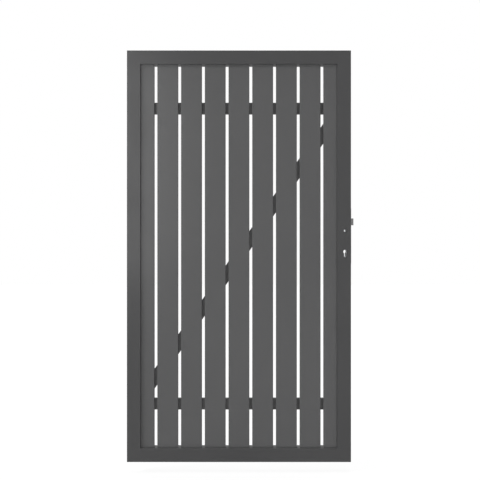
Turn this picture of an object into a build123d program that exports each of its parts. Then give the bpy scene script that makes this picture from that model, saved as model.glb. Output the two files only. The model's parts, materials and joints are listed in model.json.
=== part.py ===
"""Aluminium garden gate leaf: a mitred tube frame, upright slats, two crossbars, a brace and a mortise lock.

X runs from the hinge side to the lock side, Y from the front to the back and Z up.
The origin is on the outer face of the hinge stile, at mid-depth, level with the lower edge of the leaf.
"""

from build123d import *
import math
import os

os.makedirs("parts", exist_ok=True)

# Leaf and its frame of hollow section
gate_width = 980
gate_height = 1800
frame_face = 60
frame_depth = 60
frame_wall = 2
frame_edge_radius = 2

# Upright slats, set back from the front of the frame
slat_width = 91.5
slat_gap = 12.5
slat_thickness = 15
slat_wall = 1.5
slat_edge_radius = 2
slat_recess = 8
narrowest_slat = 30

# Crossbars and brace, of one flat section
bar_face = 50
bar_thickness = 20
bar_wall = 1.5
bar_edge_radius = 2
crossbar_inset = 250

# Hinge bushes, flush in the outer face of the hinge stile
bush_radius = 12
bush_clearance = 0.1
thread_radius = 7
thread_depth = 50
thread_chamfer = 1

# Lock: forend plate on the edge of the stile, case behind it
forend_length = 245
forend_width = 24
forend_thickness = 3
forend_corner_radius = 3
forend_bevel = 0.4
forend_rise = 99.5
screw_inset = 11
screw_radius = 2.6
screw_head_radius = 5
pilot_radius = 2.1
case_depth = 42
case_thickness = 16
case_margin = 8
mortise_clearance = 0.5

# Handle spindle and its hub
spindle_height = 1012
backset = 28
spindle_square = 8
spindle_hole_radius = 6
hub_radius = 10
hub_clearance = 0.15
hub_collar = 1

# Key cylinder cut-out: a round head with a narrower tail below
cylinder_drop = 92
cylinder_radius = 8.75
cylinder_tail = 10.5
cylinder_length = 33.5

# Latch and deadbolt
latch_rise = 39
latch_height = 30
latch_thickness = 12
latch_throw = 12
latch_tip = 3
latch_tip_radius = 1
latch_body = 22
latch_rear_play = 2
deadbolt_drop = 49
deadbolt_height = 35
deadbolt_thickness = 12
deadbolt_body = 25
deadbolt_bevel = 0.5
bolt_clearance = 0.4

# Places that follow from the sizes above
opening_left = frame_face
opening_right = gate_width - frame_face
opening_width = opening_right - opening_left
middle_x = gate_width / 2
front_y = -frame_depth / 2
slat_y = front_y + slat_recess + slat_thickness / 2
bar_y = slat_y + slat_thickness / 2 + bar_thickness / 2
slat_length = gate_height - 2 * frame_face
lower_bar_z = crossbar_inset
upper_bar_z = gate_height - crossbar_inset
forend_x = gate_width + forend_thickness
spindle_x = forend_x - backset
cylinder_z = spindle_height - cylinder_drop
latch_z = spindle_height + latch_rise
deadbolt_z = spindle_height - deadbolt_drop
forend_top = spindle_height + forend_rise
forend_z = forend_top - forend_length / 2
screw_heights = (forend_top - screw_inset, forend_top - forend_length + screw_inset)
case_top = latch_z + latch_height / 2 + bolt_clearance + case_margin
case_bottom = cylinder_z + cylinder_radius - cylinder_length - case_margin
case_height = case_top - case_bottom
case_z = (case_top + case_bottom) / 2

# Mitre planes at the four corners, each facing its stile
lower_hinge_mitre = Plane(origin=(0, 0, 0), z_dir=(-1, 0, 1))
upper_hinge_mitre = Plane(origin=(0, 0, gate_height), z_dir=(-1, 0, -1))
lower_lock_mitre = Plane(origin=(gate_width, 0, 0), z_dir=(1, 0, 1))
upper_lock_mitre = Plane(origin=(gate_width, 0, gate_height), z_dir=(1, 0, -1))

# Planes on the edges of the leaf, and the middle plane seen from the front
hinge_edge = Plane(origin=(0, 0, 0), x_dir=(0, 1, 0), z_dir=(1, 0, 0))
lock_edge = Plane(origin=(gate_width, 0, 0), x_dir=(0, 1, 0), z_dir=(1, 0, 0))
middle_plane = Plane.XZ


def write(piece, name):
    """Label a finished piece and write it to its own file."""
    piece.part.label = name
    export_step(piece.part, f"parts/{name}.step")


def tube_section(width, depth, edge_radius, wall):
    """Hollow section with rounded edges, in the sketch that is open."""
    inner_radius = max(edge_radius - wall, wall / 4)
    RectangleRounded(width, depth, edge_radius)
    RectangleRounded(width - 2 * wall, depth - 2 * wall, inner_radius, mode=Mode.SUBTRACT)


def frame_tube(section_plane, length, mitres, keep):
    """Length of the frame's section with mitred ends, in the part that is open."""
    with BuildSketch(section_plane) as section:
        tube_section(frame_face, frame_depth, frame_edge_radius, frame_wall)
    extrude(section.sketch, amount=length)
    for mitre in mitres:
        split(bisect_by=mitre, keep=keep)


def cylinder_cutout():
    """Key cylinder's outline at its place on the middle plane, in the sketch that is open."""
    tail_run = cylinder_length - cylinder_radius - cylinder_tail / 2
    with Locations((spindle_x, cylinder_z)):
        Circle(cylinder_radius)
    with Locations((spindle_x, cylinder_z - tail_run / 2)):
        SlotCenterToCenter(tail_run, cylinder_tail, rotation=90)


# Hinge stile, with a round seat in its outer wall for each hinge bush
with BuildPart() as hinge_stile:
    frame_tube(
        Plane(origin=(frame_face / 2, 0, 0)),
        gate_height,
        (lower_hinge_mitre, upper_hinge_mitre),
        Keep.TOP,
    )
    with BuildSketch(hinge_edge):
        with Locations((0, lower_bar_z), (0, upper_bar_z)):
            Circle(bush_radius + bush_clearance)
    extrude(amount=frame_wall, mode=Mode.SUBTRACT)
write(hinge_stile, "hinge_stile")

# Threaded hinge bushes, level with the crossbars, each against the far wall of the stile
for bush_name, bush_z in (("lower_hinge_bush", lower_bar_z), ("upper_hinge_bush", upper_bar_z)):
    with BuildPart() as hinge_bush:
        with BuildSketch(hinge_edge):
            with Locations((0, bush_z)):
                Circle(bush_radius)
        extrude(amount=frame_face - frame_wall)
        with BuildSketch(hinge_edge):
            with Locations((0, bush_z)):
                Circle(thread_radius)
        extrude(amount=thread_depth, mode=Mode.SUBTRACT)
        mouth = hinge_bush.faces().sort_by(Axis.X)[0].inner_wires()[0]
        chamfer(mouth.edges(), length=thread_chamfer)
    write(hinge_bush, bush_name)

# Lock stile: mortised for the case and drilled for the forend, with the spindle and cylinder holes in both faces
with BuildPart() as lock_stile:
    frame_tube(
        Plane(origin=(gate_width - frame_face / 2, 0, 0)),
        gate_height,
        (lower_lock_mitre, upper_lock_mitre),
        Keep.TOP,
    )
    with BuildSketch(lock_edge):
        with Locations((0, case_z)):
            Rectangle(case_thickness + 2 * mortise_clearance, case_height + 2 * mortise_clearance)
        with Locations(*((0, height) for height in screw_heights)):
            Circle(pilot_radius)
    extrude(amount=-frame_wall, mode=Mode.SUBTRACT)
    with BuildSketch(middle_plane):
        with Locations((spindle_x, spindle_height)):
            Circle(spindle_hole_radius)
        cylinder_cutout()
    extrude(amount=frame_depth, both=True, mode=Mode.SUBTRACT)
write(lock_stile, "lock_stile")

# Top and bottom rails
with BuildPart() as bottom_rail:
    frame_tube(
        Plane(origin=(0, 0, frame_face / 2), x_dir=(0, 0, 1), z_dir=(1, 0, 0)),
        gate_width,
        (lower_hinge_mitre, lower_lock_mitre),
        Keep.BOTTOM,
    )
write(bottom_rail, "bottom_rail")

with BuildPart() as top_rail:
    frame_tube(
        Plane(origin=(0, 0, gate_height - frame_face / 2), x_dir=(0, 0, 1), z_dir=(1, 0, 0)),
        gate_width,
        (upper_hinge_mitre, upper_lock_mitre),
        Keep.BOTTOM,
    )
write(top_rail, "top_rail")

# Slats, one in the middle and as many on each side as the opening takes, the outer ones cut narrower
slat_pitch = slat_width + slat_gap
half_left_over = (opening_width - slat_width) / 2 - slat_gap - narrowest_slat
slats_each_side = max(math.ceil(half_left_over / slat_pitch), 0)
for place in range(-slats_each_side, slats_each_side + 1):
    slat_left = max(middle_x + place * slat_pitch - slat_width / 2, opening_left)
    slat_right = min(middle_x + place * slat_pitch + slat_width / 2, opening_right)
    with BuildPart() as slat:
        with BuildSketch(Plane(origin=((slat_left + slat_right) / 2, slat_y, frame_face))):
            tube_section(slat_right - slat_left, slat_thickness, slat_edge_radius, slat_wall)
            Rectangle(slat_wall, slat_thickness - slat_wall)
        extrude(amount=slat_length)
    write(slat, f"slat_{place + slats_each_side + 1}")

# Crossbars against the backs of the slats
for bar_name, bar_z in (("lower_crossbar", lower_bar_z), ("upper_crossbar", upper_bar_z)):
    with BuildPart() as crossbar:
        with BuildSketch(Plane(origin=(opening_left, bar_y, bar_z), x_dir=(0, 0, 1), z_dir=(1, 0, 0))):
            tube_section(bar_face, bar_thickness, bar_edge_radius, bar_wall)
        extrude(amount=opening_width)
    write(crossbar, bar_name)

# Brace, from the lower hinge corner to the upper lock corner between the crossbars
bay_height = upper_bar_z - lower_bar_z - bar_face
bay_middle = (middle_x, bar_y, (lower_bar_z + upper_bar_z) / 2)
bay_diagonal = math.hypot(opening_width, bay_height)
brace_plane = Plane(origin=bay_middle, x_dir=(-bay_height, 0, opening_width), z_dir=(opening_width, 0, bay_height))
with BuildPart() as diagonal_brace:
    with BuildSketch(brace_plane):
        tube_section(bar_face, bar_thickness, bar_edge_radius, bar_wall)
    extrude(amount=bay_diagonal / 2 + bar_face, both=True)
    with Locations(bay_middle):
        Box(opening_width, frame_depth, bay_height, mode=Mode.INTERSECT)
write(diagonal_brace, "diagonal_brace")

# Lock case, with channels for the two bolts, the hub's seat and the cylinder's hole
latch_channel = latch_body + latch_throw + latch_rear_play
with BuildPart() as lock_case:
    with BuildSketch(middle_plane):
        with Locations((gate_width - case_depth / 2, case_z)):
            Rectangle(case_depth, case_height)
        with Locations((spindle_x, spindle_height)):
            Circle(hub_radius + hub_clearance, mode=Mode.SUBTRACT)
    extrude(amount=case_thickness / 2, both=True)
    with BuildSketch(middle_plane):
        cylinder_cutout()
    extrude(amount=case_thickness, both=True, mode=Mode.SUBTRACT)
    with BuildSketch(lock_edge):
        with Locations((0, latch_z)):
            Rectangle(latch_thickness + 2 * bolt_clearance, latch_height + 2 * bolt_clearance)
    extrude(amount=-latch_channel, mode=Mode.SUBTRACT)
    with BuildSketch(lock_edge):
        with Locations((0, deadbolt_z)):
            Rectangle(deadbolt_thickness + 2 * bolt_clearance, deadbolt_height + 2 * bolt_clearance)
    extrude(amount=-deadbolt_body, mode=Mode.SUBTRACT)
write(lock_case, "lock_case")

# Forend plate over the mortise, with a window for each bolt and a countersunk hole at each end
with BuildPart() as forend:
    with BuildSketch(lock_edge):
        with Locations((0, forend_z)):
            RectangleRounded(forend_width, forend_length, forend_corner_radius)
        with Locations((0, latch_z)):
            Rectangle(
                latch_thickness + 2 * bolt_clearance,
                latch_height + 2 * bolt_clearance,
                mode=Mode.SUBTRACT,
            )
        with Locations((0, deadbolt_z)):
            Rectangle(
                deadbolt_thickness + 2 * bolt_clearance,
                deadbolt_height + 2 * bolt_clearance,
                mode=Mode.SUBTRACT,
            )
    extrude(amount=forend_thickness)
    rim = forend.faces().sort_by(Axis.X)[-1].outer_wire()
    chamfer(rim.edges(), length=forend_bevel)
    with Locations(*(Plane(origin=(forend_x, 0, height), z_dir=(1, 0, 0)) for height in screw_heights)):
        CounterSinkHole(screw_radius, screw_head_radius)
write(forend, "forend")

# Latch with its nose bevelled on the front, drawn from above
with BuildPart() as latch_bolt:
    with BuildSketch(Plane.XY.offset(latch_z - latch_height / 2)):
        with BuildLine():
            Polyline(
                (gate_width - latch_body, -latch_thickness / 2),
                (forend_x, -latch_thickness / 2),
                (forend_x + latch_throw, latch_thickness / 2 - latch_tip),
                (forend_x + latch_throw, latch_thickness / 2),
                (gate_width - latch_body, latch_thickness / 2),
                close=True,
            )
        make_face()
        fillet(vertices().group_by(Axis.X)[-1], radius=latch_tip_radius)
    extrude(amount=latch_height)
write(latch_bolt, "latch_bolt")

# Deadbolt, drawn in flush with the forend and resting on the end of its channel
with BuildPart() as deadbolt:
    with BuildSketch(lock_edge.offset(-deadbolt_body)):
        with Locations((0, deadbolt_z)):
            Rectangle(deadbolt_thickness, deadbolt_height)
    extrude(amount=deadbolt_body + forend_thickness)
    chamfer(deadbolt.faces().sort_by(Axis.X)[-1].edges(), length=deadbolt_bevel)
write(deadbolt, "deadbolt")

# Hub that the handle's square spindle turns, with a collar on each side of the case
with BuildPart() as spindle_hub:
    with BuildSketch(middle_plane):
        with Locations((spindle_x, spindle_height)):
            Circle(hub_radius)
            Rectangle(spindle_square, spindle_square, mode=Mode.SUBTRACT)
    extrude(amount=case_thickness / 2 + hub_collar, both=True)
write(spindle_hub, "spindle_hub")
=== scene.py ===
"""Looks of a slatted aluminium gate leaf: coats, metals, threads, screws, welds and a pale studio."""

import json
import math

import bmesh
import bpy
from bpy.props import FloatProperty, FloatVectorProperty, IntProperty, PointerProperty
from bpy.types import Operator, Panel, PropertyGroup
from mathutils import Matrix, Vector


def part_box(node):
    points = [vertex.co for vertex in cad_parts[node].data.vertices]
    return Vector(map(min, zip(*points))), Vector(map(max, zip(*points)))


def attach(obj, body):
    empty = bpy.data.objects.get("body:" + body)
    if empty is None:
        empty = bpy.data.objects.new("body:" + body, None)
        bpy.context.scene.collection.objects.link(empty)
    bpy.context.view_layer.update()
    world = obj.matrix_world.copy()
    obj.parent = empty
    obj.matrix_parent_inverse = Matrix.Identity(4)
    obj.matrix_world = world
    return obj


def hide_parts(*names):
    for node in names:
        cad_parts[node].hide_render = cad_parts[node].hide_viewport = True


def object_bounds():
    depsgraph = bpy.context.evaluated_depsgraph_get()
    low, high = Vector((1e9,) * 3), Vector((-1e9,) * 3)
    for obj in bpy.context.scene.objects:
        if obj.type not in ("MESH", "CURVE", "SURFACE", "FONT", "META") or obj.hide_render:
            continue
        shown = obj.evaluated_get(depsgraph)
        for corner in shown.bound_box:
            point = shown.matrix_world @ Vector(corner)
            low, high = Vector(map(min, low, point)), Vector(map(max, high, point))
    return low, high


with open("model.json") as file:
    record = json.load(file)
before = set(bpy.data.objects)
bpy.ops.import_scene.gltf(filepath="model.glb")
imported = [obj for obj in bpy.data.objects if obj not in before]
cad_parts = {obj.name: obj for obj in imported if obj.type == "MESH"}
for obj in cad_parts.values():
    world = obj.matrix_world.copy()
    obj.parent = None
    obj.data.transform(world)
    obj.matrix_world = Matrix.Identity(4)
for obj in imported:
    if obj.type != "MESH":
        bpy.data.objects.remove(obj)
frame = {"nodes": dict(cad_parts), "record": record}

bl_info = {
    "name": "Slatted gate leaf",
    "version": (1, 0, 0),
    "blender": (4, 5, 0),
    "location": "3D View > Sidebar > Gate",
    "description": "Coats the gate leaf, cuts its threads, fits its screws, welds it and sets the studio",
    "category": "Object",
}

cad_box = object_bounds()
LEAF = "leaf"
STILES_AND_RAILS = ("hinge_stile", "lock_stile", "top_rail", "bottom_rail")
SLATS = tuple(sorted(name for name in frame["nodes"] if name.startswith("slat_")))
CROSSBARS = ("upper_crossbar", "lower_crossbar")
BARS = CROSSBARS + ("diagonal_brace",)
BUSHES = {"upper_hinge_bush": "upper_hinge_thread", "lower_hinge_bush": "lower_hinge_thread"}

# Lowest and highest roughness of each bare metal
ROUGHNESS = {
    "forend": (0.34, 0.46),
    "bolts": (0.26, 0.38),
    "case": (0.36, 0.52),
    "slat_screws": (0.28, 0.40),
    "forend_screws": (0.26, 0.36),
    "bushes": (0.38, 0.52),
}
# Detail of a noise texture, from soft to ragged
SOFT, PLAIN, RAGGED = 2.0, 3.0, 4.0
# Noise levels between which the flecks, and the clouds and smudges, fade in
FLECK_LEVELS = (0.38, 0.68)
CLOUD_LEVELS = (0.35, 0.65)
# Part of a face's normal along an axis from which the face counts as facing that way
FACING = 0.9
WHITE = (1.0, 1.0, 1.0, 1.0)
# Spread in degrees and heading of each far light, whose strength is the stage setting of the same name
FAR_LIGHTS = {
    "window_light": (14.0, (2.3, 1.0, -1.8)),
    "front_light": (25.0, (0.0, 1.0, -0.25)),
    "low_light": (25.0, (0.0, 1.0, 0.8)),
    "back_light": (25.0, (1.2, -1.0, -0.60)),
    "lock_light": (25.0, (-1.0, -0.30, -0.35)),
    "ceiling_light": (20.0, (0.0, 0.0, -1.0)),
}


class GateCoatSettings(PropertyGroup):
    """Powder coat on the aluminium."""

    frame_colour: FloatVectorProperty(
        name="Frame colour",
        description="Coat of the stiles and rails",
        subtype="COLOR",
        size=3,
        min=0.0,
        max=1.0,
        default=(0.0370, 0.0370, 0.0378),
    )
    slat_colour: FloatVectorProperty(
        name="Slat colour",
        description="Coat of the upright slats",
        subtype="COLOR",
        size=3,
        min=0.0,
        max=1.0,
        default=(0.0620, 0.0620, 0.0630),
    )
    # Painted light: the bar coat is lighter than the frame's coat, so that the bars in shade behind the
    # slats look lit
    bar_colour_painted_light: FloatVectorProperty(
        name="Bar colour",
        description="Coat of the crossbars and the brace",
        subtype="COLOR",
        size=3,
        min=0.0,
        max=1.0,
        default=(0.0690, 0.0690, 0.0700),
    )
    fleck_shade: FloatProperty(
        name="Fleck shade",
        description="How dark the darkest flecks of the coat are, as a share of its colour",
        subtype="FACTOR",
        min=0.0,
        max=1.0,
        default=0.88,
    )
    grain_size: FloatProperty(
        name="Grain size",
        description="Width of a grain of the coat's fine texture",
        unit="LENGTH",
        min=0.0001,
        default=0.0005,
    )
    grain_depth: FloatProperty(
        name="Grain depth",
        description="Height of the coat's fine texture",
        unit="LENGTH",
        min=0.0,
        default=0.00005,
    )
    shine: FloatProperty(
        name="Shine",
        description="How strongly the coat reflects, where one half is a plain gloss paint",
        subtype="FACTOR",
        min=0.0,
        max=1.0,
        default=0.35,
    )
    smoothest: FloatProperty(
        name="Smoothest",
        description="Roughness where the coat flowed best",
        subtype="FACTOR",
        min=0.0,
        max=1.0,
        default=0.54,
    )
    roughest: FloatProperty(
        name="Roughest",
        description="Roughness where the coat is driest",
        subtype="FACTOR",
        min=0.0,
        max=1.0,
        default=0.66,
    )


class GateMetalSettings(PropertyGroup):
    """Bare metal of the lock, the bushes and the screws."""

    # Painted reflection: the forend colour is darker than the steel itself, standing in for the dark
    # surroundings it would reflect; the forend screws take it too
    forend_dark_reflection_colour: FloatVectorProperty(
        name="Forend colour",
        description="Dark brushed steel of the lock's edge plate and its screws",
        subtype="COLOR",
        size=3,
        min=0.0,
        max=1.0,
        default=(0.150, 0.150, 0.155),
    )
    bolt_colour: FloatVectorProperty(
        name="Bolt colour",
        description="Satin plating of the latch and the deadbolt",
        subtype="COLOR",
        size=3,
        min=0.0,
        max=1.0,
        default=(0.17, 0.17, 0.17),
    )
    zinc_colour: FloatVectorProperty(
        name="Zinc colour",
        description="Zinc plating of the lock case, the hub, the bushes and the slat screws",
        subtype="COLOR",
        size=3,
        min=0.0,
        max=1.0,
        default=(0.46, 0.47, 0.49),
    )
    streak_width: FloatProperty(
        name="Streak width",
        description="Width of one brushing mark",
        unit="LENGTH",
        min=0.00005,
        default=0.0003,
    )
    streak_length: FloatProperty(
        name="Streak length",
        description="Length of one brushing mark",
        unit="LENGTH",
        min=0.001,
        default=0.02,
    )


class GateScrewSettings(PropertyGroup):
    """Screws that hold the slats and the forend."""

    slat_head: FloatProperty(
        name="Slat screw head",
        description="Diameter of the round heads on the backs of the crossbars",
        unit="LENGTH",
        min=0.003,
        default=0.009,
    )
    slat_head_height: FloatProperty(
        name="Slat screw head height",
        description="How far those heads stand off the crossbar",
        unit="LENGTH",
        min=0.0005,
        default=0.0018,
    )
    slat_edge: FloatProperty(
        name="Edge distance",
        description="Distance of a screw from the edge of its slat",
        unit="LENGTH",
        min=0.005,
        default=0.022,
    )
    forend_head: FloatProperty(
        name="Forend screw head",
        description="Diameter of the sunk heads in the forend",
        unit="LENGTH",
        min=0.003,
        default=0.0096,
    )
    forend_inset: FloatProperty(
        name="Forend screw inset",
        description="Distance of each forend screw from the end of the plate",
        unit="LENGTH",
        min=0.002,
        default=0.011,
    )
    sides: IntProperty(
        name="Sides",
        description="Corners round a screw head, a multiple of twelve",
        min=12,
        default=24,
    )


class GateBushSettings(PropertyGroup):
    """Threaded bushes that take the hinges."""

    pitch: FloatProperty(
        name="Thread pitch",
        description="Distance from one turn of the thread to the next",
        unit="LENGTH",
        min=0.0005,
        default=0.002,
    )
    thread_depth: FloatProperty(
        name="Thread depth",
        description="Height of the thread from its root to its crest",
        unit="LENGTH",
        min=0.0002,
        default=0.001,
    )
    mouth: FloatProperty(
        name="Mouth bevel",
        description="Width of the bevel at the mouth of the thread",
        unit="LENGTH",
        min=0.0002,
        default=0.001,
    )
    rim: FloatProperty(
        name="Rim bevel",
        description="Width of the bevel round the outer end of a bush",
        unit="LENGTH",
        min=0.0001,
        default=0.0004,
    )
    turning_mark: FloatProperty(
        name="Turning mark",
        description="Width of one mark that the lathe left on a bush",
        unit="LENGTH",
        min=0.00005,
        default=0.0003,
    )
    sides: IntProperty(
        name="Sides",
        description="Corners round a bush",
        min=12,
        default=48,
    )


class GateWeldSettings(PropertyGroup):
    """Welds that hold the bars and close the inner corners of the frame."""

    bead_width: FloatProperty(
        name="Bead width",
        description="Width of a weld across its seam",
        unit="LENGTH",
        min=0.001,
        default=0.0068,
    )
    bead_height: FloatProperty(
        name="Bead height",
        description="How far a weld in a corner stands out of it",
        unit="LENGTH",
        min=0.0005,
        default=0.0027,
    )
    flat_height: FloatProperty(
        name="Flat bead height",
        description="How far a weld between level faces stands off them",
        unit="LENGTH",
        min=0.0002,
        default=0.0012,
    )
    ripple: FloatProperty(
        name="Ripple",
        description="Length of one ripple along a weld",
        unit="LENGTH",
        min=0.0005,
        default=0.0019,
    )
    lean: FloatProperty(
        name="Lean",
        description="How far each ripple leans over the one before it",
        subtype="ANGLE",
        min=0.0,
        max=1.2,
        default=math.radians(26.0),
    )


class GateStageSettings(PropertyGroup):
    """Studio, lamps and camera."""

    camera_distance: FloatProperty(
        name="Camera distance",
        description="Distance from the camera to the front of the frame",
        unit="LENGTH",
        min=0.5,
        default=3.6,
    )
    picture_width: FloatProperty(
        name="Picture width",
        description="Width of the picture at the front of the frame",
        unit="LENGTH",
        min=0.5,
        default=2.098,
    )
    aim_across: FloatProperty(
        name="Aim across",
        description="Where the camera points, across from the hinge side",
        unit="LENGTH",
        default=0.4946,
    )
    aim_height: FloatProperty(
        name="Aim height",
        description="Height of the camera, which looks level",
        unit="LENGTH",
        default=0.971,
    )
    floor_drop: FloatProperty(
        name="Floor drop",
        description="Height of the leaf's lower edge over the floor",
        unit="LENGTH",
        min=0.0,
        default=0.05,
    )
    room_light: FloatProperty(
        name="Room light",
        description="Strength of the even light from all round",
        min=0.0,
        default=0.24,
    )
    window_light: FloatProperty(
        name="Window light",
        description="Strength of the broad light from the hinge side",
        min=0.0,
        default=2.8,
    )
    front_light: FloatProperty(
        name="Front light",
        description="Strength of the light from behind the camera",
        min=0.0,
        default=0.19,
    )
    low_light: FloatProperty(
        name="Low light",
        description="Strength of the light that comes up from the floor in front",
        min=0.0,
        default=0.42,
    )
    back_light: FloatProperty(
        name="Back light",
        description="Strength of the light on the back of the gate",
        min=0.0,
        default=3.0,
    )
    lock_light: FloatProperty(
        name="Lock light",
        description="Strength of the light on the edge with the lock",
        min=0.0,
        default=0.9,
    )
    ceiling_light: FloatProperty(
        name="Ceiling light",
        description="Strength of the light straight down on the floor",
        min=0.0,
        default=2.0,
    )
    stile_lamp_power: FloatProperty(
        name="Stile lamp power",
        description="Power of the lamp in front of the hinge stile",
        unit="POWER",
        min=0.0,
        default=4.4,
    )


def nothing_selected():
    """Leave edit mode and deselect everything, before a new object is added."""
    if bpy.context.object and bpy.context.object.mode != "OBJECT":
        bpy.ops.object.mode_set(mode="OBJECT")
    bpy.ops.object.select_all(action="DESELECT")


def only(piece):
    """Select one object and make it active."""
    nothing_selected()
    piece.select_set(True)
    bpy.context.view_layer.objects.active = piece


def copy_of(piece):
    """Copy an object, with a mesh of its own."""
    only(piece)
    bpy.ops.object.duplicate(linked=False)
    return bpy.context.object


def joined(pieces):
    """Join objects into the first of them."""
    only(pieces[0])
    for piece in pieces:
        piece.select_set(True)
    bpy.ops.object.join()
    return bpy.context.object


def pick(piece, faces=None, edges=None, verts=None):
    """In edit mode, select only the faces, edges or vertices that pass a test."""
    bpy.ops.mesh.select_all(action="DESELECT")
    mesh = bmesh.from_edit_mesh(piece.data)
    for test, items in ((faces, mesh.faces), (edges, mesh.edges), (verts, mesh.verts)):
        if test:
            for item in items:
                if test(item):
                    item.select_set(True)
    mesh.select_flush_mode()
    bmesh.update_edit_mesh(piece.data)


def settle(piece, name):
    """Name a finished piece and put its place into its mesh."""
    only(piece)
    bpy.ops.object.transform_apply(location=True, rotation=True, scale=True)
    piece.name = name
    piece.data.name = name
    return piece


def new_group(name, inputs, outputs):
    """Empty shader node group with the sockets given as name and default, or name alone."""
    group = bpy.data.node_groups.new(name, "ShaderNodeTree")
    for socket_name, default in inputs:
        socket = group.interface.new_socket(socket_name, in_out="INPUT", socket_type="NodeSocketFloat")
        socket.default_value = default
    for socket_name in outputs:
        group.interface.new_socket(socket_name, in_out="OUTPUT", socket_type="NodeSocketFloat")
    return group, group.nodes.new("NodeGroupInput"), group.nodes.new("NodeGroupOutput")


def per_metre(group, socket):
    """Texture scale for a feature whose width a socket gives."""
    node = group.nodes.new("ShaderNodeMath")
    node.operation = "DIVIDE"
    node.inputs[0].default_value = 1.0
    group.links.new(socket, node.inputs[1])
    return node.outputs[0]


def stretched(group, value, low, high):
    """Spread a noise value between two of its levels over 0 to 1."""
    node = group.nodes.new("ShaderNodeMapRange")
    node.inputs["From Min"].default_value = low
    node.inputs["From Max"].default_value = high
    group.links.new(value, node.inputs["Value"])
    return node.outputs["Result"]


def noise(group, place, scale, detail):
    """Noise texture on Object coordinates, at a scale from a socket or a number."""
    node = group.nodes.new("ShaderNodeTexNoise")
    node.inputs["Detail"].default_value = detail
    group.links.new(place, node.inputs["Vector"])
    if isinstance(scale, (int, float)):
        node.inputs["Scale"].default_value = scale
    else:
        group.links.new(scale, node.inputs["Scale"])
    return node.outputs["Fac"]


def powder_texture():
    """Fine grain, flecks and slow clouds of a baked powder coat."""
    flecks_per_grain, clouds_per_metre = 0.4, 3.1
    if "powder_texture" in bpy.data.node_groups:
        return bpy.data.node_groups["powder_texture"]
    group, given, result = new_group(
        "powder_texture", [("Grain Size", 0.001)], ["Grain", "Fleck", "Cloud"]
    )
    place = group.nodes.new("ShaderNodeTexCoord").outputs["Object"]
    grain_scale = per_metre(group, given.outputs["Grain Size"])
    fleck_scale = group.nodes.new("ShaderNodeMath")
    fleck_scale.operation = "MULTIPLY"
    fleck_scale.inputs[1].default_value = flecks_per_grain
    group.links.new(grain_scale, fleck_scale.inputs[0])
    grain = noise(group, place, grain_scale, SOFT)
    fleck = stretched(group, noise(group, place, fleck_scale.outputs[0], PLAIN), *FLECK_LEVELS)
    cloud = stretched(group, noise(group, place, clouds_per_metre, PLAIN), *CLOUD_LEVELS)
    group.links.new(grain, result.inputs["Grain"])
    group.links.new(fleck, result.inputs["Fleck"])
    group.links.new(cloud, result.inputs["Cloud"])
    return group


def brushed_texture():
    """Long fine streaks of brushed metal, along the height of the gate."""
    smudges_per_metre = 45.0
    if "brushed_texture" in bpy.data.node_groups:
        return bpy.data.node_groups["brushed_texture"]
    group, given, result = new_group(
        "brushed_texture", [("Streak Width", 0.0003), ("Streak Length", 0.02)], ["Streak", "Smudge"]
    )
    place = group.nodes.new("ShaderNodeTexCoord").outputs["Object"]
    across = per_metre(group, given.outputs["Streak Width"])
    along = per_metre(group, given.outputs["Streak Length"])
    scale = group.nodes.new("ShaderNodeCombineXYZ")
    group.links.new(across, scale.inputs["X"])
    group.links.new(across, scale.inputs["Y"])
    group.links.new(along, scale.inputs["Z"])
    mapping = group.nodes.new("ShaderNodeMapping")
    group.links.new(place, mapping.inputs["Vector"])
    group.links.new(scale.outputs["Vector"], mapping.inputs["Scale"])
    streak = noise(group, mapping.outputs["Vector"], 1.0, PLAIN)
    smudge = stretched(group, noise(group, place, smudges_per_metre, RAGGED), *CLOUD_LEVELS)
    group.links.new(streak, result.inputs["Streak"])
    group.links.new(smudge, result.inputs["Smudge"])
    return group


def turned_texture():
    """Fine rings that a lathe leaves, round an axis along X at a given height."""
    if "turned_texture" in bpy.data.node_groups:
        return bpy.data.node_groups["turned_texture"]
    # At a scale of one, a wave texture repeats its rings after this distance
    ring_period = math.tau / 20.0
    wobble, wobble_scale, smudges_per_metre = 2.5, 0.6, 160.0
    group, given, result = new_group(
        "turned_texture", [("Axis Height", 0.0), ("Mark Width", 0.0003)], ["Mark", "Smudge"]
    )
    place = group.nodes.new("ShaderNodeTexCoord").outputs["Object"]
    axis = group.nodes.new("ShaderNodeCombineXYZ")
    group.links.new(given.outputs["Axis Height"], axis.inputs["Z"])
    centred = group.nodes.new("ShaderNodeVectorMath")
    centred.operation = "SUBTRACT"
    group.links.new(place, centred.inputs[0])
    group.links.new(axis.outputs["Vector"], centred.inputs[1])
    ring_scale = group.nodes.new("ShaderNodeMath")
    ring_scale.operation = "DIVIDE"
    ring_scale.inputs[0].default_value = ring_period
    group.links.new(given.outputs["Mark Width"], ring_scale.inputs[1])
    rings = group.nodes.new("ShaderNodeTexWave")
    rings.wave_type = "RINGS"
    rings.rings_direction = "X"
    rings.inputs["Distortion"].default_value = wobble
    rings.inputs["Detail"].default_value = SOFT
    rings.inputs["Detail Scale"].default_value = wobble_scale
    group.links.new(centred.outputs["Vector"], rings.inputs["Vector"])
    group.links.new(ring_scale.outputs[0], rings.inputs["Scale"])
    smudge = stretched(group, noise(group, place, smudges_per_metre, RAGGED), *CLOUD_LEVELS)
    group.links.new(rings.outputs["Fac"], result.inputs["Mark"])
    group.links.new(smudge, result.inputs["Smudge"])
    return group


def shaded(colour, share):
    """Colour with an alpha of one, at a share of its brightness."""
    return tuple(channel * share for channel in colour) + (1.0,)


def new_material(name, metallic):
    """Material with a bare Principled shader."""
    material = bpy.data.materials.new(name)
    material.use_nodes = True
    shader = material.node_tree.nodes["Principled BSDF"]
    shader.inputs["Metallic"].default_value = metallic
    return material, material.node_tree, shader


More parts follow.
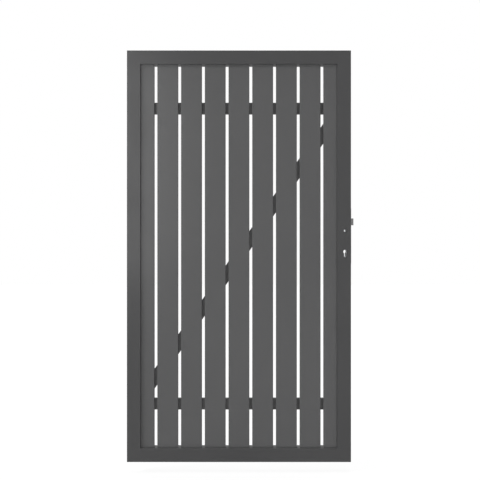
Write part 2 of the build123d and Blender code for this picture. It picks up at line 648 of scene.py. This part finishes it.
def two_tone(tree, shader, mask, light, dark):
    """Base colour that goes from light to dark with a mask."""
    mix = tree.nodes.new("ShaderNodeMix")
    mix.data_type = "RGBA"
    mix.inputs["A"].default_value = light
    mix.inputs["B"].default_value = dark
    tree.links.new(mask, mix.inputs["Factor"])
    tree.links.new(mix.outputs["Result"], shader.inputs["Base Color"])


def rough_between(tree, shader, mask, low, high):
    """Roughness that goes from low to high with a mask."""
    spread = tree.nodes.new("ShaderNodeMapRange")
    spread.inputs["To Min"].default_value = low
    spread.inputs["To Max"].default_value = high
    tree.links.new(mask, spread.inputs["Value"])
    tree.links.new(spread.outputs["Result"], shader.inputs["Roughness"])


def bumped(tree, shader, height, strength, depth):
    """Fine relief from a height, depth metres deep."""
    bump = tree.nodes.new("ShaderNodeBump")
    bump.inputs["Strength"].default_value = strength
    bump.inputs["Distance"].default_value = depth
    tree.links.new(height, bump.inputs["Height"])
    tree.links.new(bump.outputs["Normal"], shader.inputs["Normal"])


def powder_coat(name, colour):
    """Satin powder coat of one colour."""
    coat = bpy.context.scene.gate_coat
    lightest, grain_strength = 1.04, 0.6
    material, tree, shader = new_material(name, 0.0)
    shader.inputs["Specular IOR Level"].default_value = coat.shine
    texture = tree.nodes.new("ShaderNodeGroup")
    texture.node_tree = powder_texture()
    texture.inputs["Grain Size"].default_value = coat.grain_size
    light, dark = shaded(colour, lightest), shaded(colour, coat.fleck_shade)
    two_tone(tree, shader, texture.outputs["Fleck"], light, dark)
    rough_between(tree, shader, texture.outputs["Cloud"], coat.smoothest, coat.roughest)
    bumped(tree, shader, texture.outputs["Grain"], grain_strength, coat.grain_depth)
    return material


def brushed_metal(name, colour, roughness):
    """Brushed or plated metal of one colour, with its lowest and highest roughness."""
    metal = bpy.context.scene.gate_metal
    lightest, darkest = 1.12, 0.84
    streak_strength, streak_depth = 0.25, 0.00004
    material, tree, shader = new_material(name, 1.0)
    texture = tree.nodes.new("ShaderNodeGroup")
    texture.node_tree = brushed_texture()
    texture.inputs["Streak Width"].default_value = metal.streak_width
    texture.inputs["Streak Length"].default_value = metal.streak_length
    two_tone(tree, shader, texture.outputs["Streak"], shaded(colour, lightest), shaded(colour, darkest))
    rough_between(tree, shader, texture.outputs["Smudge"], *roughness)
    bumped(tree, shader, texture.outputs["Streak"], streak_strength, streak_depth)
    return material


def turned_metal(name, colour, axis_height, roughness):
    """Plated metal turned round an axis along X, with its lowest and highest roughness."""
    lightest, darkest = 1.06, 0.90
    mark_strength, mark_depth = 0.3, 0.00003
    material, tree, shader = new_material(name, 1.0)
    texture = tree.nodes.new("ShaderNodeGroup")
    texture.node_tree = turned_texture()
    texture.inputs["Axis Height"].default_value = axis_height
    texture.inputs["Mark Width"].default_value = bpy.context.scene.gate_bush.turning_mark
    two_tone(tree, shader, texture.outputs["Mark"], shaded(colour, lightest), shaded(colour, darkest))
    rough_between(tree, shader, texture.outputs["Smudge"], *roughness)
    bumped(tree, shader, texture.outputs["Mark"], mark_strength, mark_depth)
    return material


def dress(nodes, material):
    """Give CAD nodes a material."""
    for name in nodes:
        slots = frame["nodes"][name].data.materials
        slots.clear()
        slots.append(material)


class GATE_OT_coat_leaf(Operator):
    """Coat the frame, the slats and the bars"""

    bl_idname = "gate.coat_leaf"
    bl_label = "Coat the leaf"

    def execute(self, context):
        coat = context.scene.gate_coat
        dress(STILES_AND_RAILS, powder_coat("frame_coat", coat.frame_colour))
        dress(SLATS, powder_coat("slat_coat", coat.slat_colour))
        # The bar coat is painted lighter, standing in for light that the slats keep off the bars
        dress(BARS, powder_coat("bar_coat", coat.bar_colour_painted_light))
        return {"FINISHED"}


class GATE_OT_finish_lock(Operator):
    """Finish the metal of the lock"""

    bl_idname = "gate.finish_lock"
    bl_label = "Finish the lock"

    def execute(self, context):
        metal = context.scene.gate_metal
        # The forend steel is painted dark, in place of a dark reflection
        forend_steel = brushed_metal("dark_forend_steel", metal.forend_dark_reflection_colour, ROUGHNESS["forend"])
        bolt_steel = brushed_metal("plated_bolt_steel", metal.bolt_colour, ROUGHNESS["bolts"])
        case_steel = brushed_metal("zinc_case_steel", metal.zinc_colour, ROUGHNESS["case"])
        dress(("forend",), forend_steel)
        dress(("latch_bolt", "deadbolt"), bolt_steel)
        dress(("lock_case", "spindle_hub"), case_steel)
        return {"FINISHED"}


def lobed_recess(head, radius, depth, top):
    """Cut a six-lobed drive recess into the flat top of a screw head that points up."""
    sides = bpy.context.scene.gate_screws.sides
    lobes, valley_share, floor_share, tolerance = 6, 0.70, 0.85, 1e-5
    lobe = sides // lobes

    def on_top(face):
        return face.normal.z > FACING and face.calc_center_median().z > top - tolerance

    pick(head, faces=on_top)
    bpy.ops.mesh.inset(thickness=radius)

    def in_valley(vert):
        turn = math.atan2(vert.co.y, vert.co.x) / math.tau * sides
        return vert.select and round(turn) % lobe in (0, 1) and lobe > 2

    valley = [in_valley(vert) for vert in bmesh.from_edit_mesh(head.data).verts]
    ring = [vert.select for vert in bmesh.from_edit_mesh(head.data).verts]
    pick(head, verts=lambda vert: valley[vert.index])
    bpy.ops.transform.resize(value=(valley_share, valley_share, 1.0))
    pick(head, faces=lambda face: all(ring[vert.index] for vert in face.verts))
    bpy.ops.mesh.extrude_region_move(TRANSFORM_OT_translate={"value": (0.0, 0.0, -depth)})
    bpy.ops.transform.resize(value=(floor_share, floor_share, 1.0))


def round_head(radius, height):
    """Low round screw head on the origin, pointing up."""
    sides = bpy.context.scene.gate_screws.sides
    rounding, rounding_steps = height * 0.9, 5
    recess_radius, recess_depth = radius * 0.42 - height * 0.3, height * 0.7
    middle = (0.0, 0.0, height / 2)
    nothing_selected()
    bpy.ops.mesh.primitive_cylinder_add(vertices=sides, radius=radius, depth=height, location=middle)
    head = bpy.context.object
    bpy.ops.object.transform_apply(location=True)
    bpy.ops.object.mode_set(mode="EDIT")
    bpy.ops.mesh.select_mode(type="EDGE")
    pick(head, edges=lambda edge: all(vert.co.z > height / 2 for vert in edge.verts))
    bpy.ops.mesh.bevel(offset=rounding, segments=rounding_steps, profile=0.5, affect="EDGES")
    bpy.ops.mesh.select_mode(type="VERT")
    lobed_recess(head, recess_radius, recess_depth, height)
    bpy.ops.object.mode_set(mode="OBJECT")
    return head


def sunk_head(radius):
    """Countersunk screw with its flat head level with the origin, pointing up."""
    sides = bpy.context.scene.gate_screws.sides
    rim, cone, shank, tip = 0.0002, 0.0027, 0.014, 0.004
    shank_share, tip_share = 0.40, 0.25
    rim_bevel, rim_steps = rim * 0.7, 2
    recess_radius, recess_depth = radius * 0.52, 0.0018
    middle = (0.0, 0.0, -rim / 2)
    nothing_selected()
    bpy.ops.mesh.primitive_cylinder_add(vertices=sides, radius=radius, depth=rim, location=middle)
    screw = bpy.context.object
    bpy.ops.object.transform_apply(location=True)
    bpy.ops.object.mode_set(mode="EDIT")
    bpy.ops.mesh.select_mode(type="FACE")
    pick(screw, faces=lambda face: face.normal.z < -FACING)
    for drop, share in ((cone, shank_share), (shank, 1.0), (tip, tip_share)):
        bpy.ops.mesh.extrude_region_move(TRANSFORM_OT_translate={"value": (0.0, 0.0, -drop)})
        bpy.ops.transform.resize(value=(share, share, 1.0))
    bpy.ops.mesh.select_mode(type="EDGE")
    pick(screw, edges=lambda edge: all(vert.co.z > -rim / 2 for vert in edge.verts))
    bpy.ops.mesh.bevel(offset=rim_bevel, segments=rim_steps, affect="EDGES")
    bpy.ops.mesh.select_mode(type="VERT")
    lobed_recess(screw, recess_radius, recess_depth, 0.0)
    bpy.ops.object.mode_set(mode="OBJECT")
    return screw


def copies(head, places):
    """Copy a finished head to each place and join the copies."""
    made = []
    for place in places:
        copy = copy_of(head)
        copy.location = place
        made.append(copy)
    bpy.data.objects.remove(head)
    return joined(made)


class GATE_OT_fit_slat_screws(Operator):
    """Screw the slats to the crossbars, from behind"""

    bl_idname = "gate.fit_slat_screws"
    bl_label = "Fit the slat screws"

    def execute(self, context):
        screws = context.scene.gate_screws
        zinc_colour = context.scene.gate_metal.zinc_colour
        steel = brushed_metal("slat_screw_steel", zinc_colour, ROUGHNESS["slat_screws"])
        # A slat up to this width takes one screw, on its middle line
        widest_for_one = 3.6 * screws.slat_edge
        for bar in CROSSBARS:
            low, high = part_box(bar)
            height = (low.z + high.z) / 2
            across = []
            for slat in SLATS:
                left, right = (corner.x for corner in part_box(slat))
                if right - left > widest_for_one:
                    across += [left + screws.slat_edge, right - screws.slat_edge]
                else:
                    across.append((left + right) / 2)
            head = round_head(screws.slat_head / 2, screws.slat_head_height)
            head.rotation_euler.x = -math.pi / 2
            only(head)
            bpy.ops.object.transform_apply(rotation=True)
            head.data.materials.append(steel)
            row = copies(head, [(x, high.y, height) for x in across])
            settle(row, bar + "_screws")
            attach(row, LEAF)
        return {"FINISHED"}


class GATE_OT_fit_forend_screws(Operator):
    """Screw the forend to the edge of the lock stile"""

    bl_idname = "gate.fit_forend_screws"
    bl_label = "Fit the forend screws"

    def execute(self, context):
        screws = context.scene.gate_screws
        sunk = 0.0001
        low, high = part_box("forend")
        screw = sunk_head(screws.forend_head / 2)
        screw.rotation_euler.y = math.pi / 2
        only(screw)
        bpy.ops.object.transform_apply(rotation=True)
        # The forend screws take the forend's painted dark reflection
        forend_dark_reflection_colour = context.scene.gate_metal.forend_dark_reflection_colour
        steel = brushed_metal("forend_screw_steel", forend_dark_reflection_colour, ROUGHNESS["forend_screws"])
        screw.data.materials.append(steel)
        middle = (low.y + high.y) / 2
        heights = (high.z - screws.forend_inset, low.z + screws.forend_inset)
        pair = copies(screw, [(high.x - sunk, middle, height) for height in heights])
        settle(pair, "forend_screws")
        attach(pair, LEAF)
        return {"FINISHED"}


def bush_body(radius, length, root, depth):
    """Turned bush along X from the origin, bored to its thread's root, with a bevelled mouth and rim."""
    bush = bpy.context.scene.gate_bush
    rim_steps = 2
    nothing_selected()
    bpy.ops.mesh.primitive_cylinder_add(
        vertices=bush.sides,
        radius=radius,
        depth=length,
        location=(length / 2, 0.0, 0.0),
        rotation=(0.0, math.pi / 2, 0.0),
    )
    body = bpy.context.object
    bpy.ops.object.transform_apply(location=True, rotation=True)
    bpy.ops.object.mode_set(mode="EDIT")
    bpy.ops.mesh.select_mode(type="FACE")
    pick(body, faces=lambda face: face.normal.x < -FACING)
    bpy.ops.mesh.inset(thickness=radius - root - bush.mouth)
    for reach, share in ((bush.mouth, root / (root + bush.mouth)), (depth - bush.mouth, 1.0)):
        bpy.ops.mesh.extrude_region_move(TRANSFORM_OT_translate={"value": (reach, 0.0, 0.0)})
        bpy.ops.transform.resize(value=(1.0, share, share))

    def on_rim(vert):
        return vert.co.x < bush.rim and math.hypot(vert.co.y, vert.co.z) > radius - bush.rim

    bpy.ops.mesh.select_mode(type="EDGE")
    pick(body, edges=lambda edge: all(on_rim(vert) for vert in edge.verts))
    bpy.ops.mesh.bevel(offset=bush.rim, segments=rim_steps, affect="EDGES")
    bpy.ops.object.mode_set(mode="OBJECT")
    return body


def thread_ridge(crest, root, start, end):
    """Ridge of an inside thread, wound round X from start to end and closed at both ends."""
    bush = bpy.context.scene.gate_bush
    base_share, crest_share, sunk, section_corners = 0.86, 0.28, 0.00005, 4
    outer = root + sunk
    nothing_selected()
    bpy.ops.mesh.primitive_plane_add(size=1.0, rotation=(math.pi / 2, 0.0, 0.0))
    ridge = bpy.context.object
    bpy.ops.object.transform_apply(rotation=True)
    bpy.ops.object.mode_set(mode="EDIT")
    bpy.ops.mesh.select_mode(type="EDGE")
    bpy.ops.mesh.select_all(action="SELECT")
    bpy.ops.transform.resize(value=(bush.pitch * base_share, 1.0, outer - crest))
    bpy.ops.transform.translate(value=(start + bush.pitch / 2, 0.0, (outer + crest) / 2))
    pick(ridge, edges=lambda edge: all(vert.co.z < (outer + crest) / 2 for vert in edge.verts))
    bpy.ops.transform.resize(value=(crest_share, 1.0, 1.0))
    bpy.ops.mesh.select_all(action="SELECT")
    bpy.ops.mesh.delete(type="ONLY_FACE")
    bpy.ops.object.mode_set(mode="OBJECT")
    winding = ridge.modifiers.new("winding", "SCREW")
    winding.axis = "X"
    winding.screw_offset = bush.pitch
    winding.iterations = math.floor((end - start) / bush.pitch) - 1
    winding.steps = bush.sides
    winding.render_steps = bush.sides
    bpy.ops.object.modifier_apply(modifier=winding.name)
    bpy.ops.object.mode_set(mode="EDIT")
    bpy.ops.mesh.select_all(action="SELECT")
    bpy.ops.mesh.fill_holes(sides=section_corners)
    bpy.ops.mesh.select_all(action="SELECT")
    bpy.ops.mesh.normals_make_consistent(inside=False)
    bpy.ops.object.mode_set(mode="OBJECT")
    return ridge


class GATE_OT_thread_bushes(Operator):
    """Turn and thread the bushes that take the hinges"""

    bl_idname = "gate.thread_bushes"
    bl_label = "Thread the bushes"

    def execute(self, context):
        bush = context.scene.gate_bush
        zinc_colour = context.scene.gate_metal.zinc_colour
        smooth_below = math.radians(32.0)
        threads = {mount["name"]: mount["dims"] for mount in frame["record"]["mounts"]}
        low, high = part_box("upper_hinge_bush")
        dims = threads[BUSHES["upper_hinge_bush"]]
        crest = dims["r_mm"] / 1000
        depth = dims["length_mm"] / 1000 + bush.mouth
        root = crest + bush.thread_depth
        body = bush_body((high.z - low.z) / 2, high.x - low.x, root, depth)
        ridge = thread_ridge(crest, root, bush.mouth / 2, depth)
        model = joined([body, ridge])
        bpy.ops.object.shade_smooth_by_angle(angle=smooth_below)
        for name in BUSHES:
            low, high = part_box(name)
            height = (low.z + high.z) / 2
            copy = copy_of(model)
            copy.location = (low.x, (low.y + high.y) / 2, height)
            steel = turned_metal("turned_" + name, zinc_colour, height, ROUGHNESS["bushes"])
            copy.data.materials.append(steel)
            dress((name,), steel)
            settle(copy, "threaded_" + name)
            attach(copy, LEAF)
            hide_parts(name)
        bpy.data.objects.remove(model)
        return {"FINISHED"}


def weld_ripple():
    """One leaning ripple of a weld, along Y with its crown up, cut off under the seam."""
    weld = bpy.context.scene.gate_weld
    segments, rings = 10, 6
    half_length, under_seam = weld.ripple * 1.6, weld.bead_height * 0.25
    smooth_below = math.radians(50.0)
    nothing_selected()
    bpy.ops.mesh.primitive_uv_sphere_add(segments=segments, ring_count=rings, radius=1.0)
    ripple = bpy.context.object
    bpy.ops.object.mode_set(mode="EDIT")
    bpy.ops.mesh.select_all(action="SELECT")
    bpy.ops.transform.resize(value=(weld.bead_width / 2, half_length, weld.bead_height))
    bpy.ops.transform.rotate(value=weld.lean, orient_axis="X", center_override=(0.0, 0.0, 0.0))
    bpy.ops.mesh.bisect(
        plane_co=(0.0, 0.0, -under_seam),
        plane_no=(0.0, 0.0, 1.0),
        use_fill=True,
        clear_inner=True,
    )
    bpy.ops.mesh.select_all(action="SELECT")
    bpy.ops.mesh.normals_make_consistent(inside=False)
    bpy.ops.object.mode_set(mode="OBJECT")
    bpy.ops.object.shade_smooth_by_angle(angle=smooth_below)
    return ripple


def weld_bead(ripple, start, end, outward):
    """Row of ripples along a seam. It fills a corner, or lies low where outward is square to level faces."""
    weld = bpy.context.scene.gate_weld
    least_part = 0.1
    along = (Vector(end) - Vector(start)).normalized()
    length = (Vector(end) - Vector(start)).length
    crown = Vector(outward).normalized()
    in_corner = sum(abs(part) > least_part for part in crown) > 1
    sunk = 0.0 if in_corner else weld.bead_height - weld.flat_height
    count = max(round(length / weld.ripple) - 1, 2)
    bead = copy_of(ripple)
    row = bead.modifiers.new("row", "ARRAY")
    row.count = count
    row.use_relative_offset = False
    row.use_constant_offset = True
    row.constant_offset_displace = (0.0, weld.ripple, 0.0)
    bpy.ops.object.modifier_apply(modifier=row.name)
    first = (length - (count - 1) * weld.ripple) / 2
    turn = Matrix((along.cross(crown), along, crown)).transposed().to_4x4()
    bead.matrix_world = Matrix.Translation(Vector(start) + along * first - crown * sunk) @ turn
    return bead


def weld_seams(seams, name, coated_like):
    """Lay a weld on each seam and join them into one piece, coated like a node."""
    ripple = weld_ripple()
    beads = [weld_bead(ripple, *seam) for seam in seams]
    bpy.data.objects.remove(ripple)
    welds = settle(joined(beads), name)
    welds.data.materials.append(frame["nodes"][coated_like].data.materials[0])
    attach(welds, LEAF)


def bar_end_seams(bar, edge, inward, brace_side):
    """Seams round a crossbar's end where it meets a stile: across its back, and along its free edges."""
    low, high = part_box(bar)
    seams = [((edge, high.y, low.z), (edge, high.y, high.z), (inward, 1.0, 0.0))]
    for side, away in ((low.z, -1.0), (high.z, 1.0)):
        if side != brace_side:
            seams.append(((edge, low.y, side), (edge, high.y, side), (inward, 0.0, away)))
    return seams


class GATE_OT_weld_bars(Operator):
    """Weld the ends of the crossbars and the brace"""

    bl_idname = "gate.weld_bars"
    bl_label = "Weld the bars"

    def execute(self, context):
        upper_low, upper_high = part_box("upper_crossbar")
        lower_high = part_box("lower_crossbar")[1]
        brace_low, brace_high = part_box("diagonal_brace")
        left, right = upper_low.x, upper_high.x
        seams = bar_end_seams("upper_crossbar", left, 1.0, None)
        seams += bar_end_seams("upper_crossbar", right, -1.0, upper_low.z)
        seams += bar_end_seams("lower_crossbar", left, 1.0, lower_high.z)
        seams += bar_end_seams("lower_crossbar", right, -1.0, None)
        rise = brace_high.z - brace_low.z
        run = brace_high.x - brace_low.x
        half_face = (upper_high.z - upper_low.z) / 2
        slope = math.atan2(rise, run)
        along_bar = half_face / math.sin(slope)
        up_stile = half_face / math.cos(slope)
        back = brace_high.y
        seams += [
            ((left, back, brace_low.z), (left + along_bar, back, brace_low.z), (0.0, 1.0, 0.0)),
            ((left, back, brace_low.z), (left, back, brace_low.z + up_stile), (1.0, 1.0, 0.0)),
            ((right, back, brace_high.z), (right - along_bar, back, brace_high.z), (0.0, 1.0, 0.0)),
            ((right, back, brace_high.z), (right, back, brace_high.z - up_stile), (-1.0, 1.0, 0.0)),
        ]
        # The bar welds take the bars' coat, with its painted light
        weld_seams(seams, "bar_welds", "upper_crossbar")
        return {"FINISHED"}


class GATE_OT_weld_corners(Operator):
    """Weld the inner corners of the frame, behind the slats"""

    bl_idname = "gate.weld_corners"
    bl_label = "Weld the corners"

    def execute(self, context):
        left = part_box("hinge_stile")[1].x
        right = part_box("lock_stile")[0].x
        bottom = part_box("bottom_rail")[1].z
        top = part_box("top_rail")[0].z
        slat_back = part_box(SLATS[0])[1].y
        frame_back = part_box("hinge_stile")[1].y
        rounded_edge = 0.002
        seams = []
        for across, inward in ((left, 1.0), (right, -1.0)):
            for height, away in ((bottom, 1.0), (top, -1.0)):
                start = (across, slat_back, height)
                end = (across, frame_back - rounded_edge, height)
                seams.append((start, end, (inward, 0.0, away)))
        weld_seams(seams, "corner_welds", "hinge_stile")
        return {"FINISHED"}


def seen_directly(tree):
    """One for rays from the camera, or by way of gloss or glass, and otherwise nought."""
    path = tree.nodes.new("ShaderNodeLightPath")
    total = path.outputs["Is Camera Ray"]
    for ray in ("Is Glossy Ray", "Is Transmission Ray"):
        either = tree.nodes.new("ShaderNodeMath")
        either.operation = "MAXIMUM"
        tree.links.new(total, either.inputs[0])
        tree.links.new(path.outputs[ray], either.inputs[1])
        total = either.outputs[0]
    return total


def lay_floor(stage):
    """Pale floor that shows white to the camera, keeps a faint shadow and lets the low light through."""
    size, middle, grey, shown_white = 30.0, 0.5, 0.8, 0.90
    nothing_selected()
    bpy.ops.mesh.primitive_plane_add(size=size, location=(middle, 0.0, -stage.floor_drop))
    floor = bpy.context.object
    floor.name = "floor"
    floor.visible_shadow = False
    material = bpy.data.materials.new("pale_floor")
    material.use_nodes = True
    tree = material.node_tree
    tree.nodes.clear()
    matt = tree.nodes.new("ShaderNodeBsdfDiffuse")
    matt.inputs["Color"].default_value = (grey, grey, grey, 1.0)
    white = tree.nodes.new("ShaderNodeEmission")
    white.inputs["Strength"].default_value = 1.0
    share = tree.nodes.new("ShaderNodeMath")
    share.operation = "MULTIPLY"
    share.inputs[1].default_value = shown_white
    tree.links.new(seen_directly(tree), share.inputs[0])
    mix = tree.nodes.new("ShaderNodeMixShader")
    tree.links.new(share.outputs[0], mix.inputs["Fac"])
    tree.links.new(matt.outputs["BSDF"], mix.inputs[1])
    tree.links.new(white.outputs["Emission"], mix.inputs[2])
    output = tree.nodes.new("ShaderNodeOutputMaterial")
    tree.links.new(mix.outputs["Shader"], output.inputs["Surface"])
    floor.data.materials.append(material)


def light_room(stage):
    """Surroundings that show white to the camera and light the gate evenly."""
    world = bpy.data.worlds.new("studio")
    bpy.context.scene.world = world
    world.use_nodes = True
    tree = world.node_tree
    tree.nodes.clear()
    even = tree.nodes.new("ShaderNodeBackground")
    even.inputs["Color"].default_value = WHITE
    even.inputs["Strength"].default_value = stage.room_light
    white = tree.nodes.new("ShaderNodeBackground")
    white.inputs["Color"].default_value = WHITE
    mix = tree.nodes.new("ShaderNodeMixShader")
    tree.links.new(seen_directly(tree), mix.inputs["Fac"])
    tree.links.new(even.outputs["Background"], mix.inputs[1])
    tree.links.new(white.outputs["Background"], mix.inputs[2])
    output = tree.nodes.new("ShaderNodeOutputWorld")
    tree.links.new(mix.outputs["Shader"], output.inputs["Surface"])


def far_light(name, strength, spread, heading):
    """Soft light from far off, with a spread in degrees, shining along a heading."""
    nothing_selected()
    bpy.ops.object.light_add(type="SUN")
    light = bpy.context.object
    light.name = name
    light.rotation_euler = Vector(heading).to_track_quat("-Z", "Y").to_euler()
    light.data.angle = math.radians(spread)
    light.data.energy = strength


def stile_lamp(power):
    """Tall lamp close to the front of the hinge stile, which adds only sheen."""
    place = Vector((-0.08, -0.47, 1.33))
    target = Vector((-0.04, 0.0, 1.33))
    width, height = 0.10, 1.15
    nothing_selected()
    bpy.ops.object.light_add(type="AREA", location=place)
    lamp = bpy.context.object
    lamp.name = "stile_lamp"
    lamp.rotation_euler = (target - place).to_track_quat("-Z", "Y").to_euler()
    lamp.data.shape = "RECTANGLE"
    lamp.data.size = width
    lamp.data.size_y = height
    lamp.data.energy = power
    lamp.visible_camera = False
    lamp.visible_diffuse = False


def hang_lamps(stage):
    """Broad light from the hinge side, fainter light from all round, and the stile lamp."""
    for name, (spread, heading) in FAR_LIGHTS.items():
        far_light(name, getattr(stage, name), spread, heading)
    stile_lamp(stage.stile_lamp_power)


def place_camera(stage):
    """Level camera in front of the gate."""
    sensor = 36.0
    front = cad_box[0][1]
    nothing_selected()
    bpy.ops.object.camera_add(
        location=(stage.aim_across, front - stage.camera_distance, stage.aim_height),
        rotation=(math.pi / 2, 0.0, 0.0),
    )
    camera = bpy.context.object
    camera.data.sensor_width = sensor
    camera.data.lens = sensor * stage.camera_distance / stage.picture_width
    bpy.context.scene.camera = camera


class GATE_OT_set_stage(Operator):
    """Set the floor, the lamps, the surroundings and the camera"""

    bl_idname = "gate.set_stage"
    bl_label = "Set the stage"

    def execute(self, context):
        stage = context.scene.gate_stage
        context.scene.view_settings.view_transform = "Standard"
        lay_floor(stage)
        light_room(stage)
        hang_lamps(stage)
        place_camera(stage)
        return {"FINISHED"}


class GATE_PT_sidebar(Panel):
    """Gate tools in the sidebar"""

    bl_label = "Gate leaf"
    bl_idname = "GATE_PT_sidebar"
    bl_space_type = "VIEW_3D"
    bl_region_type = "UI"
    bl_category = "Gate"

    def draw(self, context):
        for settings in SETTINGS:
            group = getattr(context.scene, settings)
            for name in group.__annotations__:
                self.layout.prop(group, name)
        for operator in OPERATORS:
            self.layout.operator(operator.bl_idname)


SETTINGS = {
    "gate_coat": GateCoatSettings,
    "gate_metal": GateMetalSettings,
    "gate_screws": GateScrewSettings,
    "gate_bush": GateBushSettings,
    "gate_weld": GateWeldSettings,
    "gate_stage": GateStageSettings,
}
OPERATORS = (
    GATE_OT_coat_leaf,
    GATE_OT_finish_lock,
    GATE_OT_fit_slat_screws,
    GATE_OT_fit_forend_screws,
    GATE_OT_thread_bushes,
    GATE_OT_weld_bars,
    GATE_OT_weld_corners,
    GATE_OT_set_stage,
)


def register():
    for name, settings in SETTINGS.items():
        bpy.utils.register_class(settings)
        setattr(bpy.types.Scene, name, PointerProperty(type=settings))
    for operator in OPERATORS:
        bpy.utils.register_class(operator)
    bpy.utils.register_class(GATE_PT_sidebar)


def unregister():
    bpy.utils.unregister_class(GATE_PT_sidebar)
    for operator in reversed(OPERATORS):
        bpy.utils.unregister_class(operator)
    for name, settings in SETTINGS.items():
        delattr(bpy.types.Scene, name)
        bpy.utils.unregister_class(settings)


def main():
    """Build the whole scene."""
    register()
    bpy.ops.gate.coat_leaf()
    bpy.ops.gate.finish_lock()
    bpy.ops.gate.fit_slat_screws()
    bpy.ops.gate.fit_forend_screws()
    bpy.ops.gate.thread_bushes()
    bpy.ops.gate.weld_bars()
    bpy.ops.gate.weld_corners()
    bpy.ops.gate.set_stage()


if __name__ == "__main__":
    main()
